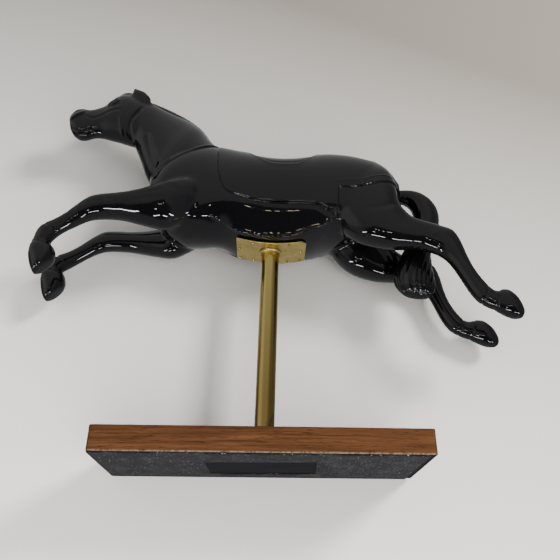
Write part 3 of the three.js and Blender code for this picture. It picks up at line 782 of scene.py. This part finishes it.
def refine(mesh, chosen):
    # splits every edge whose two ends are both chosen
    work = bmesh.new()
    work.from_mesh(mesh)
    work.verts.ensure_lookup_table()
    flags = chosen.tolist()
    edges = [edge for edge in work.edges if flags[edge.verts[0].index] and flags[edge.verts[1].index]]
    bmesh.ops.subdivide_edges(work, edges=edges, cuts=1, use_grid_fill=True)
    work.to_mesh(mesh)
    work.free()
    mesh.update()


def lineReach(points, line):
    # distance from each point to a chain of straight stretches, and the share of the chain before that spot
    best = np.full(len(points), 1e9)
    along = np.zeros(len(points))
    lengths = np.linalg.norm(np.diff(line, axis=0), axis=1)
    starts = np.concatenate([[0], np.cumsum(lengths)])
    for i in range(len(lengths)):
        way = (line[i + 1] - line[i]) / lengths[i]
        t = np.clip((points - line[i]) @ way, 0, lengths[i])
        gap = np.linalg.norm(points - line[i] - t[:, None] * way, axis=1)
        nearer = gap < best
        best = np.where(nearer, gap, best)
        along = np.where(nearer, starts[i] + t, along)
    return best, along / starts[-1]


def insideOutline(points, outline):
    # a point is inside when a level ray from it crosses the outline an odd number of times
    inside = np.zeros(len(points), bool)
    for a, b in zip(outline, np.roll(outline, -1, axis=0)):
        crosses = (a[1] > points[:, 1]) != (b[1] > points[:, 1])
        rise = b[1] - a[1] if b[1] != a[1] else 1.0
        inside ^= crosses & (points[:, 0] < a[0] + (points[:, 1] - a[1]) * (b[0] - a[0]) / rise)
    return inside


# carved lines, as x and z seen from the side
clothEdge = np.vstack([
    smoothRows([(-44, 322), (-47, 296), (-45.6, 268.5), (-44, 250.7), (-40.3, 237.3), (-35.2, 230.7),
                (-24.3, 225.8), (-8.7, 221.2), (11.5, 219.6), (42.4, 219.7), (54.2, 215.6),
                (62.5, 215.2)], 5),
    smoothRows([(63.0, 226), (63.4, 236)], 2),
    smoothRows([(84.1, 237.8), (108.9, 244.5), (117.7, 245.5), (134, 246)], 3),
])
hemLine = smoothRows([(62, 243), (84, 245.5), (108, 252), (124, 254)], 4)
bellyCrease = np.array([(-49, 27, 211), (-29, 24, 199.5), (-11, 23, 194.3), (7, 22.5, 193), (23, 23.5, 194.8),
                        (50, 29, 203), (60, 32, 209)], float)
# the seat's edge as x and |y| seen from above
seatEdge = smoothRows([(-30, 12), (-24, 17), (-18, 21.5), (-10, 30), (1.5, 35.8), (17, 36.8), (30, 35.5),
                       (42, 27), (50, 18), (57, 9)], 4)
neckRoll = {"centre": (-76.5, 0, 281), "slope": math.atan2(50, 65), "reach": 47}
throatLine = smoothRows([(-128, 356), (-132.1, 344.9), (-135.2, 338.5), (-137.7, 333), (-138.6, 326),
                         (-137.6, 319), (-133, 310.5), (-128, 303)], 4)
strapLine = smoothRows([(-149.5, 340), (-148.3, 331.7), (-146.1, 320), (-143.2, 304.3)], 4)
faceCrest = smoothRows([(-184.5, 341.5), (-178.2, 338.5), (-167.6, 341.9), (-159.4, 346), (-151, 347)], 4)
mouthLine = smoothRows([(-203, 329), (-195, 326), (-187.5, 324.9), (-180.8, 327.3), (-172, 329)], 4)
nostrilLine = smoothRows([(-198, 336.6), (-193.1, 340.9), (-187.8, 345.2)], 4)
maneLine = smoothRows([(-125, 367), (-114, 361.5), (-103, 355.4), (-92, 348.4), (-81, 340.6), (-70, 330.6),
                       (-63.6, 322), (-58, 313)], 3)
neckGroove = smoothRows([(-119, 312), (-117.1, 303.3), (-112.8, 289.7), (-107.7, 277.6)], 3)
forearmLines = [
    smoothRows([(-132, 219.5), (-112, 222), (-96, 224), (-84, 228)], 3),
    smoothRows([(-126, 215), (-108, 217.3), (-90, 219)], 3),
    smoothRows([(-95, 231), (-78.9, 228), (-60, 224)], 3),
]
# creases across the fetlocks and above the hooves, with the side they are on
hoofLines = [
    (-1, [(186, 142), (180, 127)]), (-1, [(195.5, 141), (189.5, 122)]), (-1, [(-204, 180), (-182.5, 177.5)]),
    (-1, [(-198, 201), (-183, 190)]),
    (1, [(183.5, 140.5), (177.5, 125.5)]), (1, [(193, 139.5), (187.5, 121)]),
    (1, [(-208.5, 178), (-187, 175.5)]), (1, [(-202.5, 199), (-187.5, 188)]),
]
hockMark = {"x": 147, "z": 187, "radius": 1.6}  # a small ring on the near hock
hipLine = smoothRows([(84, 211), (100, 214.5), (116, 219.5)], 3)


def ridge(gap, name):
    # a bell-shaped ridge or groove, by the distance from its line
    height, width = relief[name]
    return height * bell(gap, width)


def rollGap(points):
    # height above the slanting plane of the neck roll, and how far out from its middle a point is
    slope = neckRoll["slope"]
    away = points - np.array(neckRoll["centre"])
    lift = np.array([-math.sin(slope), 0, math.cos(slope)])
    height = away @ lift
    outward = np.linalg.norm(away - height[:, None] * lift, axis=1)
    return height, outward


def sideView(points):
    return points[:, [0, 2]]


def mirrored(points):
    return np.stack([points[:, 0], np.abs(points[:, 1]), points[:, 2]], 1)


def clothDepth(points):
    # signed distance in from the edge of the saddle cloth
    flat = sideView(points)
    closed = np.vstack([clothEdge, [(134, 400), (-44, 400)]])
    gap, _ = lineReach(flat, clothEdge)
    return np.where(insideOutline(flat, closed), gap, -gap)


def trunkArea(points):
    return (points[:, 2] > horse["trunkLow"]) & (points[:, 0] < horse["trunkRear"])


def headArea(points):
    return (points[:, 0] < horse["headRear"]) & (points[:, 2] > horse["headLow"])


def tailArea(points):
    return (points[:, 0] > 112) & (np.abs(points[:, 1]) < 16) & (points[:, 2] > 145) & (points[:, 0] < 166)


def hoofReach(points):
    # distance to the nearest crease at the legs' ends, or to the round mark on the near hock;
    # points that are not on that leg's side count as far off
    farOff = 99
    mark = np.hypot(points[:, 0] - hockMark["x"], points[:, 2] - hockMark["z"])
    mark += farOff * (points[:, 1] > -20)
    gaps = [lineReach(sideView(points), np.array(line, float))[0] + farOff * (points[:, 1] * way < 8)
            for way, line in hoofLines]
    return np.minimum.reduce(gaps + [np.abs(mark - hockMark["radius"])])


def fineArea(points, reach):
    # the places within reach of a carved line on the body
    x, y, z = points.T
    edge = (np.abs(clothDepth(points)) < reach) & (z > 212) & (z < 312) & (x < horse["trunkRear"])
    hem = lineReach(sideView(points), hemLine)[0] < reach
    fold = lineReach(mirrored(points), bellyCrease)[0] < reach + 0.5
    rim = (lineReach(mirrored(points)[:, :2], seatEdge)[0] < reach) & (z > horse["seatLow"])
    height, outward = rollGap(points)
    roll = (np.abs(height) < reach + 2) & (outward < neckRoll["reach"])
    mane = (lineReach(sideView(points), maneLine)[0] < reach) & (np.abs(y) < 12)
    return edge | hem | fold | rim | roll | mane | (hoofReach(points) < reach)


def faceArea(points, reach):
    # the places within reach of the mouth, the nostril or the eye
    flat = sideView(points)
    eyeGap = np.linalg.norm(flat - (eye["x"], eye["z"]), axis=1) - 3
    gap = np.minimum.reduce([lineReach(flat, mouthLine)[0], lineReach(flat, nostrilLine)[0], eyeGap])
    return headArea(points) & (points[:, 0] < -150) & (gap < reach)


def clothForm(points):
    # the cloth stands proud inside its edge, rolls up round the neck and stops with a step under the belly
    x, y, z = points.T
    depth = clothDepth(points)
    height, outward = rollGap(points)
    onRoll = smoothStep(neckRoll["reach"] - outward, 0, 3)
    move = cloth["rise"] * smoothStep(depth, *cloth["edge"]) * trunkArea(points)
    move *= smoothStep(height, *cloth["rollFade"])
    move += onRoll * (ridge(height, "roll") + ridge(height + cloth["behindRoll"], "rollGroove"))
    low, high = cloth["stepHeights"]
    step = smoothStep(depth, *cloth["stepStart"]) * smoothStep(depth, *cloth["stepFade"])
    step *= smoothStep(x, *cloth["stepFront"]) * smoothStep(x, *cloth["stepRear"])
    step *= (z < high) * (z > low) * (np.abs(y) > cloth["stepSide"])
    return move - cloth["step"] * step + ridge(lineReach(mirrored(points), bellyCrease)[0], "bellyFold")


def seatForm(points):
    # a hollow inside the seat's edge, with a groove within the edge and a lip around it
    x, y, z = points.T
    inside = np.interp(x, seatEdge[:, 0], seatEdge[:, 1]) - np.abs(y)
    top = (z > horse["seatLow"]) * smoothStep(x, *seat["front"]) * smoothStep(x, *seat["rear"])
    hollow = seat["drop"] * smoothStep(inside, *seat["edge"])
    groove, lip = ridge(inside - seat["grooveIn"], "seatGroove"), ridge(inside + seat["lipOut"], "seatLip")
    return top * (groove + lip - hollow)


def headForm(points):
    # the throat, the strap and the cheekbone on the head, and the groove down the neck
    flat = sideView(points)
    throat, along = lineReach(flat, throatLine)
    face = ridge(throat, "throat") * smoothStep(along, 0, 0.15)
    face += ridge(lineReach(flat, strapLine)[0], "strap")
    for name, shift in cheek.items():
        face += ridge(lineReach(flat, faceCrest + (0, shift))[0], name)
    neck = (points[:, 0] < -100) & (points[:, 0] > -124)
    groove = ridge(lineReach(flat, neckGroove)[0], "neckGroove")
    return smoothStep(np.abs(points[:, 1]), 3, 10) * (headArea(points) * face + neck * groove)


def legForm(points):
    # muscle grooves on the outside of the legs; each fades in and out with a sine along its line
    outer = smoothStep(np.abs(points[:, 1]), 30, 38)
    move = np.zeros(len(points))
    for line, name in [(line, "forearm") for line in forearmLines] + [(hipLine, "hip")]:
        gap, along = lineReach(sideView(points), line)
        move += outer * ridge(gap, name) * np.sin(along * math.pi)
    return move


def bodyLines(points):
    # hems, seams and creases, shallow and narrow
    x, y, z = points.T
    flat, depth = sideView(points), clothDepth(points)
    seam = depth + cloth["seam"]
    edge = ridge(seam, "clothGroove") + (x < -30) * ridge(seam, "rollFront")
    move = (edge + ridge(depth - cloth["hem"], "clothHem")) * trunkArea(points)
    move += ridge(lineReach(flat, hemLine)[0], "hem") * (np.abs(y) > 12)
    move += ridge(lineReach(mirrored(points), bellyCrease)[0], "bellyLine")
    move += ridge(lineReach(mirrored(points)[:, :2], seatEdge)[0], "seatLine") * (z > horse["seatLow"])
    move += ridge(lineReach(flat, maneLine)[0], "mane") * (np.abs(y) > 0.6)
    return move + ridge(hoofReach(points), "hoof")


def faceLines(points):
    # mouth, nostril with its raised wing, and an eye that is a dome in a rimmed oval
    flat = sideView(points)
    mouth, along = lineReach(flat, mouthLine)
    lips = ridge(mouth, "mouth") * smoothStep(1 - along, 0, 0.12)
    nostril, along = lineReach(flat, nostrilLine)
    sides = ridge(lineReach(flat, nostrilLine + (-1.0, 2.2))[0], "wing")
    sides += ridge(nostril, "nostril") * np.sin(np.clip(along, 0.06, 0.94) * math.pi) ** 0.5
    turn = math.radians(eye["turn"])
    away = flat - (eye["x"], eye["z"])
    u = away @ np.array([math.cos(turn), math.sin(turn)])
    v = away @ np.array([-math.sin(turn), math.cos(turn)])
    oval = np.hypot(u / eye["long"], v / eye["tall"])
    sides += eye["ball"] * np.sqrt(np.clip(1 - oval**2, 0, 1))
    sides += ridge(oval - eye["lid"], "eyelid") + ridge(oval - eye["rim"], "eyeRim")
    return headArea(points) * (lips + smoothStep(np.abs(points[:, 1]), 2, 6) * sides)


def tailHair(points):
    # strands wind down the tail: ridges in the angle round its curved middle line, deeper towards the tip
    rows = smoothRows(tailRibs, 8)
    middle = (rows[:, 0:2] + rows[:, 2:4]) / 2
    heading = np.gradient(middle, axis=0)
    _, along = lineReach(sideView(points), middle)

    def atPoint(values):
        return np.stack([np.interp(along, np.linspace(0, 1, len(values)), values[:, k]) for k in range(2)], 1)

    offset, ahead = sideView(points) - atPoint(middle), atPoint(heading)
    ahead /= np.linalg.norm(ahead, axis=1)[:, None]
    angle = np.arctan2(points[:, 1], offset[:, 0] * ahead[:, 1] - offset[:, 1] * ahead[:, 0])
    sway = 1.3 * np.sin(5 * along + 2 * angle)
    thick = np.abs(np.sin(strands["round"] * angle - strands["along"] * along + sway))
    fine = np.sin(strands["fineRound"] * angle - strands["fineAlong"] * along + np.sin(3 * angle))
    shallow, added = strands["depth"]
    depth = shallow + added * smoothStep(along, *strands["deepen"])
    return tailArea(points) * smoothStep(along, *strands["start"]) * depth * (0.7 * thick + 0.3 * fine - 0.4)


def raiseSurface(mesh, height):
    # moves every point along its own normal by the height that a function gives there
    points = meshPoints(mesh)
    setPoints(mesh, points + height(points)[:, None] * meshNormals(mesh))


def broadRelief(points):
    return horse["swell"] + clothForm(points) + seatForm(points) + headForm(points) + legForm(points)


def fineRelief(points):
    return bodyLines(points) + faceLines(points) + tailHair(points)


def makeHorse(material):
    mesh = joinedNet(horseForms(), horse["voxel"])
    relax(mesh, horse["evenRounds"])
    points = meshPoints(mesh)
    soft = np.zeros(len(points))
    for x, y, z, reach in softPlaces:
        soft = np.maximum(soft, bell(np.linalg.norm(mirrored(points) - (x, y, z), axis=1), reach))
    relax(mesh, horse["blendRounds"], soft)
    print("horse: even net with", len(points), "points")
    points = meshPoints(mesh)
    refine(mesh, headArea(points) | tailArea(points) | fineArea(points, horse["refineBroad"]))
    relax(mesh, 3)
    raiseSurface(mesh, broadRelief)
    relax(mesh, 1)
    print("horse: muscles, cloth and seat are raised")
    points = meshPoints(mesh)
    bodyChosen = fineArea(points, horse["refineFine"]) & ~headArea(points)
    refine(mesh, bodyChosen | faceArea(points, horse["refineFace"]))
    relax(mesh, 2)
    raiseSurface(mesh, fineRelief)
    relax(mesh, 1, 0.6)
    print("horse: face, seams and hair are cut")
    points = meshPoints(mesh)
    faces = [tuple(polygon.vertices) for polygon in mesh.polygons]
    bpy.data.meshes.remove(mesh)
    return addPiece("horseCarving", points, faces, material, "horse")


# the stand

def fourSides(left, right, near, far, each, corner=0.0):
    # a rectangle's outline with the same number of points on every side, its corners rounded
    t = np.arange(each) / each
    one = np.ones(each)
    x = np.concatenate([left + (right - left) * t, right * one, right + (left - right) * t, left * one])
    y = np.concatenate([near * one, near + (far - near) * t, far * one, far + (near - far) * t])
    if corner:
        cx = np.clip(x, left + corner, right - corner)
        cy = np.clip(y, near + corner, far - corner)
        length = np.maximum(np.hypot(x - cx, y - cy), 1e-9)
        pull = np.minimum(1, corner / length)
        x, y = cx + (x - cx) * pull, cy + (y - cy) * pull
    return np.stack([x, y], 1)


def rodAxis(height):
    # the leaning rod's middle, as x and y, at a height
    low, high = boxInMm("rod")
    radius = (high[1] - low[1]) / 2
    share = (height - low[2]) / (high[2] - low[2])
    return np.array([low[0] + radius + (high[0] - low[0] - 2 * radius) * share, (low[1] + high[1]) / 2])


board = {
    "edge": 0.9, "corner": 1.5, "each": 110, "wear": 0.10, "wearSize": 17, "edgeShare": 0.93, "sideRings": 12,
    "socket": 8.25, "socketDeep": 1.5,  # the hole round the rod's foot
}


def makeBoard(material):
    # rings go from the underside's middle out, up the rounded edges, in over the top and into the socket
    low, high = boxInMm("wood_base")
    edge, each = board["edge"], board["each"]
    roundness = np.radians([90, 67, 45, 22, 0])

    def outline(inset, corner):
        return fourSides(low[0] + inset, high[0] - inset, low[1] + inset, high[1] - inset, each, corner)

    def sideRing(inset, height):
        return flatRing(outline(inset, max(board["corner"] - inset, 0.2)), height)

    rings = [flatRing(outline(edge, 0.3) * share, low[2]) for share in (0.03, 0.35, 0.7, 0.9)]
    rings += [sideRing(edge * (1 - math.cos(a)), low[2] + edge * (1 - math.sin(a))) for a in roundness]
    rings += [sideRing(0, z) for z in np.linspace(low[2] + edge, high[2] - edge, board["sideRings"])[1:-1]]
    rings += [sideRing(edge * (1 - math.cos(a)), high[2] - edge * (1 - math.sin(a))) for a in roundness[::-1]]
    outer, axis = rings[-1], rodAxis(high[2])
    turn = np.arctan2(outer[:, 1] - axis[1], outer[:, 0] - axis[0])
    socket = axis + board["socket"] * np.stack([np.cos(turn), np.sin(turn)], 1)
    rim = flatRing(socket, high[2])
    rings += [outer + (rim - outer) * share for share in (0.1, 0.35, 0.65, 0.9, 1.0)]
    bottom = high[2] - board["socketDeep"]
    rings += [flatRing(socket, bottom), flatRing((socket + axis) / 2, bottom - 0.1)]
    points, faces = ringSolid(np.array(rings))
    middle = (low + high) / 2
    # an edge is where the second largest share of the half size is near 1; it is worn inwards unevenly
    shares = np.sort(np.abs(points - middle) / (high - middle), axis=1)
    worn = smoothStep(shares[:, 1], board["edgeShare"], 1.0) * ripple(points, board["wearSize"], 3)
    points += board["wear"] * worn[:, None] * np.sign(middle - points)
    points[:, 2] = np.clip(points[:, 2], low[2], high[2])
    piece = addPiece("boardWood", points, faces, material, "wood_base")
    piece.visible_glossy = False  # keeps the board's mirror image out of the lacquer


felt = {
    "each": 260, "inset": 0.4, "corner": 1.2, "fray": 0.25, "fraySize": 3,
    "length": 84, "depth": 44, "x": -0.6, "y": 5, "turn": -0.05,  # the bare place in the felt
    # from the bare place's edge out along the underside, round the outer edge and back over the top:
    # the share of the way out, the height as a share of the thickness, and how much it frays
    "profile": [(0, 0.25, 0), (0.004, 0, 0), (0.25, 0, 0), (0.5, 0, 0), (0.75, 0, 0), (0.98, 0, 0.5),
                (0.995, 0.15, 1), (1, 0.5, 1), (0.995, 0.9, 1), (0.98, 1, 0.5), (0.5, 1, 0), (0.004, 1, 0),
                (0, 0.75, 0)],
}


def makeFelt(material):
    low, high = boxInMm("felt_pad")
    inset, each, turn = felt["inset"], felt["each"], felt["turn"]
    outer = fourSides(low[0] + inset, high[0] - inset, low[1] + inset, high[1] - inset, each, felt["corner"])
    spin = np.array([[math.cos(turn), math.sin(turn)], [-math.sin(turn), math.cos(turn)]])
    hole = fourSides(-felt["length"] / 2, felt["length"] / 2, -felt["depth"] / 2, felt["depth"] / 2, each)
    hole = hole @ spin + (felt["x"], felt["y"])
    share, height, fray = np.array(felt["profile"], float).T[..., None]
    rings = hole + (outer - hole) * share[..., None]
    rings = np.dstack([rings, np.broadcast_to(low[2] + height * (high[2] - low[2]), rings.shape[:2])])
    middle = np.append((low + high)[:2] / 2, 0)
    ragged = fray * felt["fray"] * ripple(rings.reshape(-1, 3), felt["fraySize"], 5).reshape(rings.shape[:2])
    rings += ragged[..., None] * np.sign(rings - middle) * (1, 1, 0)
    faces = loopFaces(*rings.shape[:2])
    piece = addPiece("feltPad", rings.reshape(-1, 3), faces, material, "felt_pad")
    piece.visible_glossy = False


def turnedRings(profile, middle, around):
    # a profile of radius and height turned round an axis; middle is one place or one for each ring
    angle = np.arange(around) / around * 2 * math.pi
    radius, height = np.array(profile, float).T[..., None]
    centre = np.broadcast_to(np.asarray(middle)[..., :2], (len(radius), 2))[:, None]
    return np.stack([centre[..., 0] + radius * np.cos(angle), centre[..., 1] + radius * np.sin(angle),
                     np.repeat(height, around, 1)], -1)


rod = {"around": 96, "rings": 40, "edge": 0.4}


def makeRod(material):
    # a leaning round bar with broken edges
    low, high = boxInMm("rod")
    radius, edge = (high[1] - low[1]) / 2, rod["edge"]
    profile = [(radius / 2, low[2]), (radius - edge, low[2])]
    profile += [(radius, z) for z in np.linspace(low[2] + edge, high[2] - edge, rod["rings"])]
    profile += [(radius - edge, high[2]), (radius / 2, high[2])]
    middles = np.array([rodAxis(z) for _, z in profile])
    points, faces = ringSolid(turnedRings(profile, middles, rod["around"]))
    addPiece("brassRod", points, faces, material, "rod")


collar = {"around": 96, "steps": 14, "gap": 0.1, "foot": 0.25, "sweep": (2.2, 1.6), "sweepShare": 0.86,
          "lumps": 0.12, "lumpSize": 9}


def makeCollar(material):
    # the solder's hollow sweeps out from rod to plate by powers of the way along, then runs back inside
    low, high = boxInMm("rod_collar")
    rodLow, rodHigh = boxInMm("rod")
    outer, tall = (high[0] - low[0]) / 2, high[2] - low[2]
    inner = (rodHigh[1] - rodLow[1]) / 2 + collar["gap"]
    foot = inner + collar["foot"]
    outPower, upPower = collar["sweep"]
    rise = tall * collar["sweepShare"]
    profile = [(inner, low[2])]
    profile += [(foot + (outer - foot) * s**outPower, low[2] + rise * (1 - (1 - s) ** upPower))
                for s in np.linspace(0, 1, collar["steps"])]
    profile += [(outer, high[2] - 0.1), (outer - 0.15, high[2]), (inner, high[2])]
    rings = turnedRings(profile, (low + high) / 2, collar["around"])
    lumps = collar["lumps"] * ripple(rings.reshape(-1, 3), collar["lumpSize"], 8).reshape(rings.shape[:2])
    rings[..., 2] += lumps * (rings[..., 2] < high[2] - 0.5)
    rings[..., 2] = np.clip(rings[..., 2], low[2], high[2])
    faces = loopFaces(*rings.shape[:2])
    addPiece("solderCollar", rings.reshape(-1, 3), faces, material, "rod_collar")


# the strip's lowest place and bend, its thickness, the clipped corner and the faint waves of its sheet
plate = {"lowest": 8, "bend": 118, "thick": 1.2, "edge": 0.3, "each": 40, "corner": 1.0, "clip": 4.0,
         "wave": 0.06, "waveSize": 14, "shares": (0.02, 0.3, 0.6, 0.85)}


def makePlate(material):
    # flat rings out over the underside, round the edge and in over the top, then bent along the belly:
    # the height rises with the square of the distance from the lowest place
    low, high = boxInMm("belly_plate")
    thick, edge = plate["thick"], plate["edge"]
    middle = ((low + high) / 2)[:2]

    def outline(inset):
        flat = fourSides(low[0] + inset, high[0] - inset, low[1] + inset, high[1] - inset, plate["each"],
                         plate["corner"])
        cornerGap = (high[0] - inset - flat[:, 0]) + (flat[:, 1] - low[1] - inset)
        cut = np.clip(plate["clip"] - cornerGap, 0, None) / 2
        return flat + np.stack([-cut, cut], 1)

    inner = outline(edge)
    rings = [flatRing(middle + (inner - middle) * share, 0) for share in plate["shares"]]
    for inset, z in [(edge, 0), (0.3 * edge, 0.3 * edge), (0, edge), (0, thick - edge),
                     (0.3 * edge, thick - 0.3 * edge), (edge, thick)]:
        rings.append(flatRing(outline(inset), z))
    rings += [flatRing(middle + (inner - middle) * share, thick) for share in plate["shares"][::-1]]
    points, faces = ringSolid(np.array(rings, float))
    rise = (points[:, 0] - plate["lowest"]) ** 2 / (2 * plate["bend"])
    points[:, 2] += low[2] + rise + plate["wave"] * ripple(points, plate["waveSize"], 12)
    addPiece("bellyPlate", points, faces, material, "belly_plate")


pin = {"around": 20, "rings": 8, "fullness": 0.8, "start": 6}


def makePins(material):
    # each head is a flattened dome: height falls with the cosine as the radius grows with the sine
    for name in sorted(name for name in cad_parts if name.startswith("plate_pin_")):
        low, high = boxInMm(name)
        radius, tall = (high[0] - low[0]) / 2, high[2] - low[2]
        profile = [(radius * math.sin(a), high[2] - tall * math.cos(a) ** pin["fullness"])
                   for a in np.radians(np.linspace(pin["start"], 90, pin["rings"]))]
        rings = turnedRings(profile + [(radius / 2, high[2])], (low + high) / 2, pin["around"])
        points, faces = ringSolid(rings)
        addPiece("platePin" + name.rsplit("_", 1)[1], points, faces, material, name)


# everything together

addCamera()
addStage()
addWorld()
addLights()
print("stage, camera and light are set")

polishedBrass = rodMaterial()
wornBrass = plateMaterial()
makeHorse(lacquerMaterial())
makeBoard(woodMaterial())
makeFelt(feltMaterial())
makeRod(polishedBrass)
makeCollar(wornBrass)
makePlate(wornBrass)
makePins(polishedBrass)
print("all pieces are made")
